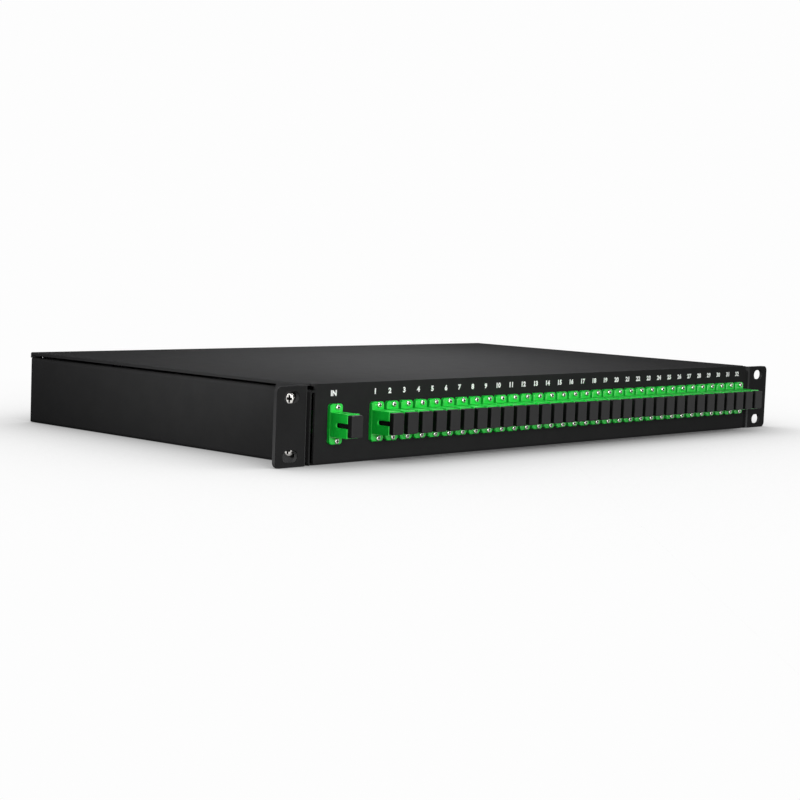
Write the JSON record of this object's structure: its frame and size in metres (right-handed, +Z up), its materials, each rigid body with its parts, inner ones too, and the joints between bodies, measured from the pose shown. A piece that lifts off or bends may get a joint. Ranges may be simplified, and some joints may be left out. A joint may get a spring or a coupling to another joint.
{
  "type": "rack-mount plc fibre splitter",
  "caption": "Black one-unit rack enclosure with a row of green flanged fibre adapters under dust caps, which splits one optical input into many outputs.",
  "frame": {"origin": "centre of the four rack slots, on the rear faces of the ears, which seat on the rack rails", "axes": "+X right along the front panel, +Y from the front to the back, +Z up"},
  "size_m": [0.4826, 0.2744, 0.0443],
  "materials": {
    "black_powder_coat": "fine satin powder coat",
    "green_plastic": "moulded, satin gloss",
    "black_cap_plastic": "moulded, satin",
    "nickel_screw": "nickel plated",
    "zinc_steel": "zinc plated",
    "black_rivet": "satin",
    "white_plastic": "moulded",
    "white_ceramic": "polished",
    "green_boot": "matte",
    "white_jacket": "extruded",
    "black_case_plastic": "moulded",
    "chip_steel": "brushed"
  },
  "bodies": {
    "chassis": {"chassis_tray": "black_powder_coat", "cover_rail": "black_powder_coat", "top_cover": "black_powder_coat", "left_ear_bracket": "black_powder_coat", "right_ear_bracket": "black_powder_coat", "ear_screws": "nickel_screw", "clinch_nuts": "zinc_steel", "cover_screws": "nickel_screw", "rear_rivets": "black_rivet", "input_adapter": "green_plastic", "output_adapters_01_08": "green_plastic", "output_adapters_09_16": "green_plastic", "output_adapters_17_24": "green_plastic", "output_adapters_25_32": "green_plastic", "adapter_screws": "nickel_screw", "adapter_nuts": "zinc_steel", "sleeve_holders": "white_plastic", "alignment_sleeves": "white_ceramic", "pigtail_plugs": "green_plastic", "pigtail_ferrules": "white_ceramic", "pigtail_boots": "green_boot", "input_fibre": "white_jacket", "output_fibres": "white_jacket", "splitter_case": "black_case_plastic", "splitter_case_lid": "black_case_plastic", "splitter_chip": "chip_steel", "module_screws": "nickel_screw"},
    "cap_in": {"dust_cap_in": "black_cap_plastic"},
    "cap_01": {"dust_cap_01": "black_cap_plastic"},
    "cap_02": {"dust_cap_02": "black_cap_plastic"},
    "cap_03": {"dust_cap_03": "black_cap_plastic"},
    "cap_04": {"dust_cap_04": "black_cap_plastic"},
    "cap_05": {"dust_cap_05": "black_cap_plastic"},
    "cap_06": {"dust_cap_06": "black_cap_plastic"},
    "cap_07": {"dust_cap_07": "black_cap_plastic"},
    "cap_08": {"dust_cap_08": "black_cap_plastic"},
    "cap_09": {"dust_cap_09": "black_cap_plastic"},
    "cap_10": {"dust_cap_10": "black_cap_plastic"},
    "cap_11": {"dust_cap_11": "black_cap_plastic"},
    "cap_12": {"dust_cap_12": "black_cap_plastic"},
    "cap_13": {"dust_cap_13": "black_cap_plastic"},
    "cap_14": {"dust_cap_14": "black_cap_plastic"},
    "cap_15": {"dust_cap_15": "black_cap_plastic"},
    "cap_16": {"dust_cap_16": "black_cap_plastic"},
    "cap_17": {"dust_cap_17": "black_cap_plastic"},
    "cap_18": {"dust_cap_18": "black_cap_plastic"},
    "cap_19": {"dust_cap_19": "black_cap_plastic"},
    "cap_20": {"dust_cap_20": "black_cap_plastic"},
    "cap_21": {"dust_cap_21": "black_cap_plastic"},
    "cap_22": {"dust_cap_22": "black_cap_plastic"},
    "cap_23": {"dust_cap_23": "black_cap_plastic"},
    "cap_24": {"dust_cap_24": "black_cap_plastic"},
    "cap_25": {"dust_cap_25": "black_cap_plastic"},
    "cap_26": {"dust_cap_26": "black_cap_plastic"},
    "cap_27": {"dust_cap_27": "black_cap_plastic"},
    "cap_28": {"dust_cap_28": "black_cap_plastic"},
    "cap_29": {"dust_cap_29": "black_cap_plastic"},
    "cap_30": {"dust_cap_30": "black_cap_plastic"},
    "cap_31": {"dust_cap_31": "black_cap_plastic"},
    "cap_32": {"dust_cap_32": "black_cap_plastic"}
  },
  "joints": [
    {"name": "cap_in_pull", "type": "slide", "parent": "chassis", "child": "cap_in", "axis": [0, -1, 0], "range_m": [0, 0.016]},
    {"name": "cap_01_pull", "type": "slide", "parent": "chassis", "child": "cap_01", "axis": [0, -1, 0], "range_m": [0, 0.016]},
    {"name": "cap_02_pull", "type": "slide", "parent": "chassis", "child": "cap_02", "axis": [0, -1, 0], "range_m": [0, 0.016]},
    {"name": "cap_03_pull", "type": "slide", "parent": "chassis", "child": "cap_03", "axis": [0, -1, 0], "range_m": [0, 0.016]},
    {"name": "cap_04_pull", "type": "slide", "parent": "chassis", "child": "cap_04", "axis": [0, -1, 0], "range_m": [0, 0.016]},
    {"name": "cap_05_pull", "type": "slide", "parent": "chassis", "child": "cap_05", "axis": [0, -1, 0], "range_m": [0, 0.016]},
    {"name": "cap_06_pull", "type": "slide", "parent": "chassis", "child": "cap_06", "axis": [0, -1, 0], "range_m": [0, 0.016]},
    {"name": "cap_07_pull", "type": "slide", "parent": "chassis", "child": "cap_07", "axis": [0, -1, 0], "range_m": [0, 0.016]},
    {"name": "cap_08_pull", "type": "slide", "parent": "chassis", "child": "cap_08", "axis": [0, -1, 0], "range_m": [0, 0.016]},
    {"name": "cap_09_pull", "type": "slide", "parent": "chassis", "child": "cap_09", "axis": [0, -1, 0], "range_m": [0, 0.016]},
    {"name": "cap_10_pull", "type": "slide", "parent": "chassis", "child": "cap_10", "axis": [0, -1, 0], "range_m": [0, 0.016]},
    {"name": "cap_11_pull", "type": "slide", "parent": "chassis", "child": "cap_11", "axis": [0, -1, 0], "range_m": [0, 0.016]},
    {"name": "cap_12_pull", "type": "slide", "parent": "chassis", "child": "cap_12", "axis": [0, -1, 0], "range_m": [0, 0.016]},
    {"name": "cap_13_pull", "type": "slide", "parent": "chassis", "child": "cap_13", "axis": [0, -1, 0], "range_m": [0, 0.016]},
    {"name": "cap_14_pull", "type": "slide", "parent": "chassis", "child": "cap_14", "axis": [0, -1, 0], "range_m": [0, 0.016]},
    {"name": "cap_15_pull", "type": "slide", "parent": "chassis", "child": "cap_15", "axis": [0, -1, 0], "range_m": [0, 0.016]},
    {"name": "cap_16_pull", "type": "slide", "parent": "chassis", "child": "cap_16", "axis": [0, -1, 0], "range_m": [0, 0.016]},
    {"name": "cap_17_pull", "type": "slide", "parent": "chassis", "child": "cap_17", "axis": [0, -1, 0], "range_m": [0, 0.016]},
    {"name": "cap_18_pull", "type": "slide", "parent": "chassis", "child": "cap_18", "axis": [0, -1, 0], "range_m": [0, 0.016]},
    {"name": "cap_19_pull", "type": "slide", "parent": "chassis", "child": "cap_19", "axis": [0, -1, 0], "range_m": [0, 0.016]},
    {"name": "cap_20_pull", "type": "slide", "parent": "chassis", "child": "cap_20", "axis": [0, -1, 0], "range_m": [0, 0.016]},
    {"name": "cap_21_pull", "type": "slide", "parent": "chassis", "child": "cap_21", "axis": [0, -1, 0], "range_m": [0, 0.016]},
    {"name": "cap_22_pull", "type": "slide", "parent": "chassis", "child": "cap_22", "axis": [0, -1, 0], "range_m": [0, 0.016]},
    {"name": "cap_23_pull", "type": "slide", "parent": "chassis", "child": "cap_23", "axis": [0, -1, 0], "range_m": [0, 0.016]},
    {"name": "cap_24_pull", "type": "slide", "parent": "chassis", "child": "cap_24", "axis": [0, -1, 0], "range_m": [0, 0.016]},
    {"name": "cap_25_pull", "type": "slide", "parent": "chassis", "child": "cap_25", "axis": [0, -1, 0], "range_m": [0, 0.016]},
    {"name": "cap_26_pull", "type": "slide", "parent": "chassis", "child": "cap_26", "axis": [0, -1, 0], "range_m": [0, 0.016]},
    {"name": "cap_27_pull", "type": "slide", "parent": "chassis", "child": "cap_27", "axis": [0, -1, 0], "range_m": [0, 0.016]},
    {"name": "cap_28_pull", "type": "slide", "parent": "chassis", "child": "cap_28", "axis": [0, -1, 0], "range_m": [0, 0.016]},
    {"name": "cap_29_pull", "type": "slide", "parent": "chassis", "child": "cap_29", "axis": [0, -1, 0], "range_m": [0, 0.016]},
    {"name": "cap_30_pull", "type": "slide", "parent": "chassis", "child": "cap_30", "axis": [0, -1, 0], "range_m": [0, 0.016]},
    {"name": "cap_31_pull", "type": "slide", "parent": "chassis", "child": "cap_31", "axis": [0, -1, 0], "range_m": [0, 0.016]},
    {"name": "cap_32_pull", "type": "slide", "parent": "chassis", "child": "cap_32", "axis": [0, -1, 0], "range_m": [0, 0.016]}
  ]
}
